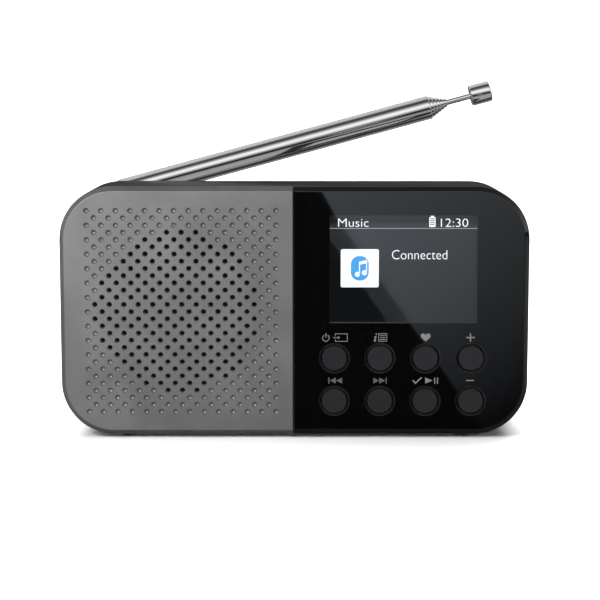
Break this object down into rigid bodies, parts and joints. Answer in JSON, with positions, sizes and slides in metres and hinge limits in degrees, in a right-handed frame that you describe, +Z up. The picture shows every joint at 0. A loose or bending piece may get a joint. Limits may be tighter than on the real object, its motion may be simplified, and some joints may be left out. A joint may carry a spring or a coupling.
{
  "type": "tabletop radio",
  "caption": "Portable tabletop radio with a perforated grille, colour display, round keys and a folding telescopic aerial.",
  "frame": {"origin": "centre of the bounding box, on the plane the feet stand on", "axes": "+X to the right seen from the front, +Y to the back, +Z up; the front plates face -Y"},
  "size_m": [0.15, 0.0396, 0.1142],
  "materials": {
    "case_black": "fine matt moulding",
    "grille_metal": "satin grey",
    "panel_black": "high gloss black",
    "window_clear": "smoked clear acrylic",
    "cloth_black": "woven",
    "rubber_black": "matt",
    "foam_black": "foam",
    "screw_steel": "zinc plated",
    "basket_steel": "black enamel",
    "surround_rubber": "matt",
    "cone_paper": "pressed paper",
    "coil_copper": "enamelled wire",
    "spider_cloth": "resin treated cloth",
    "magnet_ferrite": "ground ferrite",
    "terminal_brass": "tinned",
    "display_dark": "display module",
    "plastic_white": "moulded",
    "ribbon_amber": "film",
    "board_green": "solder mask",
    "chip_black": "moulded",
    "capacitor_blue": "sleeved",
    "cell_blue": "shrink sleeve",
    "lead_red": "insulated wire",
    "lead_black": "insulated wire",
    "key_grey": "satin dark grey",
    "aerial_chrome": "polished plate"
  },
  "bodies": {
    "case": {"front_case": "case_black", "rear_cover": "case_black", "grille_panel": "grille_metal", "control_panel": "panel_black", "display_window": "window_clear", "grille_cloth": "cloth_black", "feet": "rubber_black", "case_screws": "screw_steel", "driver_gasket": "foam_black", "driver_basket": "basket_steel", "driver_surround": "surround_rubber", "driver_spider": "spider_cloth", "driver_top_plate": "screw_steel", "driver_magnet": "magnet_ferrite", "driver_yoke": "screw_steel", "driver_terminals": "terminal_brass", "driver_screws": "screw_steel", "display_glass": "display_dark", "display_tray": "plastic_white", "display_ribbon": "ribbon_amber", "main_board": "board_green", "board_screws": "screw_steel", "tact_switches": "chip_black", "tuner_module": "screw_steel", "board_chips": "chip_black", "board_capacitors": "capacitor_blue", "board_connectors": "plastic_white", "port_board": "board_green", "port_screws": "screw_steel", "headphone_socket": "chip_black", "usb_socket": "screw_steel", "battery_cell": "cell_blue", "battery_spring": "screw_steel", "battery_contacts": "screw_steel", "driver_lead": "lead_red", "battery_lead": "lead_red", "aerial_lead": "lead_black", "aerial_bracket": "terminal_brass"},
    "door": {"battery_door": "case_black", "door_screw": "screw_steel"},
    "cone": {"driver_cone": "cone_paper", "driver_dust_cap": "cone_paper", "driver_voice_coil": "coil_copper"},
    "aerial_base": {"aerial_swivel": "aerial_chrome", "aerial_pin": "screw_steel"},
    "mast_1": {"aerial_section_1": "aerial_chrome"},
    "mast_2": {"aerial_section_2": "aerial_chrome"},
    "mast_3": {"aerial_section_3": "aerial_chrome"},
    "mast_4": {"aerial_section_4": "aerial_chrome"},
    "mast_5": {"aerial_section_5": "aerial_chrome"},
    "mast_6": {"aerial_section_6": "aerial_chrome"},
    "mast_7": {"aerial_rod": "aerial_chrome"},
    "button_power": {"key_power": "key_grey"},
    "button_info": {"key_info": "key_grey"},
    "button_favourite": {"key_favourite": "key_grey"},
    "button_volume_up": {"key_volume_up": "key_grey"},
    "button_previous": {"key_previous": "key_grey"},
    "button_next": {"key_next": "key_grey"},
    "button_select": {"key_select": "key_grey"},
    "button_volume_down": {"key_volume_down": "key_grey"}
  },
  "joints": [
    {"name": "press_power", "type": "slide", "parent": "case", "child": "button_power", "axis": [0, 1, 0], "range_m": [0, 0.0004], "stiffness_N_per_m": 1500},
    {"name": "press_info", "type": "slide", "parent": "case", "child": "button_info", "axis": [0, 1, 0], "range_m": [0, 0.0004], "stiffness_N_per_m": 1500},
    {"name": "press_favourite", "type": "slide", "parent": "case", "child": "button_favourite", "axis": [0, 1, 0], "range_m": [0, 0.0004], "stiffness_N_per_m": 1500},
    {"name": "press_volume_up", "type": "slide", "parent": "case", "child": "button_volume_up", "axis": [0, 1, 0], "range_m": [0, 0.0004], "stiffness_N_per_m": 1500},
    {"name": "press_previous", "type": "slide", "parent": "case", "child": "button_previous", "axis": [0, 1, 0], "range_m": [0, 0.0004], "stiffness_N_per_m": 1500},
    {"name": "press_next", "type": "slide", "parent": "case", "child": "button_next", "axis": [0, 1, 0], "range_m": [0, 0.0004], "stiffness_N_per_m": 1500},
    {"name": "press_select", "type": "slide", "parent": "case", "child": "button_select", "axis": [0, 1, 0], "range_m": [0, 0.0004], "stiffness_N_per_m": 1500},
    {"name": "press_volume_down", "type": "slide", "parent": "case", "child": "button_volume_down", "axis": [0, 1, 0], "range_m": [0, 0.0004], "stiffness_N_per_m": 1500},
    {"name": "cone_stroke", "type": "slide", "parent": "case", "child": "cone", "axis": [0, 1, 0], "range_m": [-0.0006, 0.0006], "stiffness_N_per_m": 1000},
    {"name": "door_lift_off", "type": "slide", "parent": "case", "child": "door", "axis": [0, 1, 0], "range_m": [0, 0.03]},
    {"name": "aerial_turn", "type": "hinge", "parent": "case", "child": "aerial_base", "pos_m": [-0.0628, 0.01525, 0.076], "axis": [0, 0, 1], "range_deg": [0, 180]},
    {"name": "aerial_raise", "type": "hinge", "parent": "aerial_base", "child": "mast_1", "pos_m": [-0.0628, 0.01525, 0.076], "axis": [0, -1, 0], "range_deg": [-15.2, 74.8]},
    {"name": "aerial_draw_2", "type": "slide", "parent": "mast_1", "child": "mast_2", "axis": [0.965, 0, 0.2622], "range_m": [0, 0.094]},
    {"name": "aerial_draw_3", "type": "slide", "parent": "mast_2", "child": "mast_3", "axis": [0.965, 0, 0.2622], "range_m": [0, 0.0944]},
    {"name": "aerial_draw_4", "type": "slide", "parent": "mast_3", "child": "mast_4", "axis": [0.965, 0, 0.2622], "range_m": [0, 0.0947]},
    {"name": "aerial_draw_5", "type": "slide", "parent": "mast_4", "child": "mast_5", "axis": [0.965, 0, 0.2622], "range_m": [0, 0.095]},
    {"name": "aerial_draw_6", "type": "slide", "parent": "mast_5", "child": "mast_6", "axis": [0.965, 0, 0.2622], "range_m": [0, 0.0954]},
    {"name": "aerial_draw_7", "type": "slide", "parent": "mast_6", "child": "mast_7", "axis": [0.965, 0, 0.2622], "range_m": [0, 0.0958]}
  ]
}
